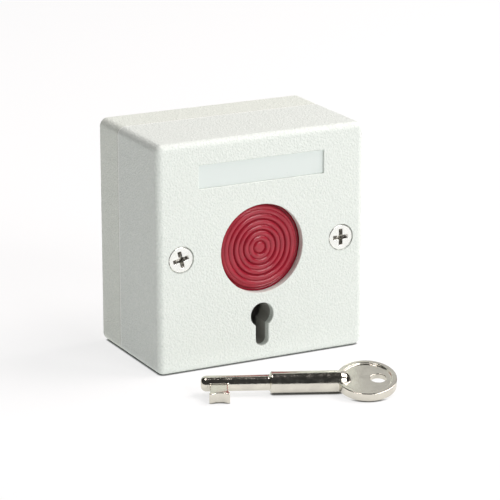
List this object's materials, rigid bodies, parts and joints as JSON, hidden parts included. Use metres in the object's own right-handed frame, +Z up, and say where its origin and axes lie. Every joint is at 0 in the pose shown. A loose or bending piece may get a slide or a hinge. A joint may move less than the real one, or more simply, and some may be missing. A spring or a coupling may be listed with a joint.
{
  "type": "manual call point",
  "caption": "Square surface-mounted call point: ridged red push button that latches until its key resets it, keyhole, blank label recess, and the key beside it.",
  "frame": {"origin": "centre of the back (wall) face, on the axis of the cable entry", "axes": "+Y into the wall, +Z up, +X to the right seen from the front"},
  "size_m": [0.068, 0.0883, 0.0694],
  "materials": {
    "cover_plastic": "moulded with a fine leather grain, satin",
    "base_plastic": "moulded with a fine leather grain, satin",
    "label_film": "smooth satin film, blank",
    "red_plastic": "moulded, satin gloss",
    "black_plastic": "moulded, satin",
    "lock_plastic": "moulded, satin",
    "ivory_plastic": "acetal, low sheen",
    "zinc_steel": "bright zinc plate",
    "spring_steel": "drawn wire",
    "brass": "machined or stamped",
    "bronze_leaf": "rolled phosphor bronze",
    "contact_silver": "polished contact metal",
    "key_nickel": "bright nickel plate over a cast blank"
  },
  "bodies": {
    "housing": {"front_cover": "cover_plastic", "rear_box": "base_plastic", "label_strip": "label_film", "cover_screws": "zinc_steel", "insert_nuts": "brass", "return_spring": "spring_steel", "switch_frame": "black_plastic", "frame_screws": "zinc_steel", "lock_housing": "lock_plastic", "slide_keeper": "zinc_steel", "keeper_screws": "zinc_steel", "release_spring": "spring_steel", "catch_wire": "spring_steel", "common_strip": "brass", "closed_contact_strip": "brass", "open_contact_strip": "brass", "contact_blade": "bronze_leaf", "blade_rivet": "brass", "contact_tips": "contact_silver", "terminal_clamps": "zinc_steel", "terminal_screws": "zinc_steel"},
    "button": {"push_button": "red_plastic", "plunger": "ivory_plastic", "plunger_clip": "spring_steel"},
    "release": {"release_slide": "ivory_plastic"},
    "key": {"reset_key": "key_nickel"}
  },
  "joints": [
    {"name": "button_press", "type": "slide", "parent": "housing", "child": "button", "axis": [0, 1, 0], "range_m": [0, 0.0038], "stiffness_N_per_m": 560, "springref_m": -0.0042, "deforming": ["return_spring", "catch_wire", "contact_blade"]},
    {"name": "release_lift", "type": "slide", "parent": "housing", "child": "release", "axis": [0, 0, 1], "range_m": [0, 0.003], "stiffness_N_per_m": 100, "springref_m": -0.004, "deforming": ["release_spring", "catch_wire"]},
    {"name": "key_lift", "type": "slide", "parent": "housing", "child": "key", "axis": [0, 0, 1], "range_m": [0, 0.06]}
  ]
}
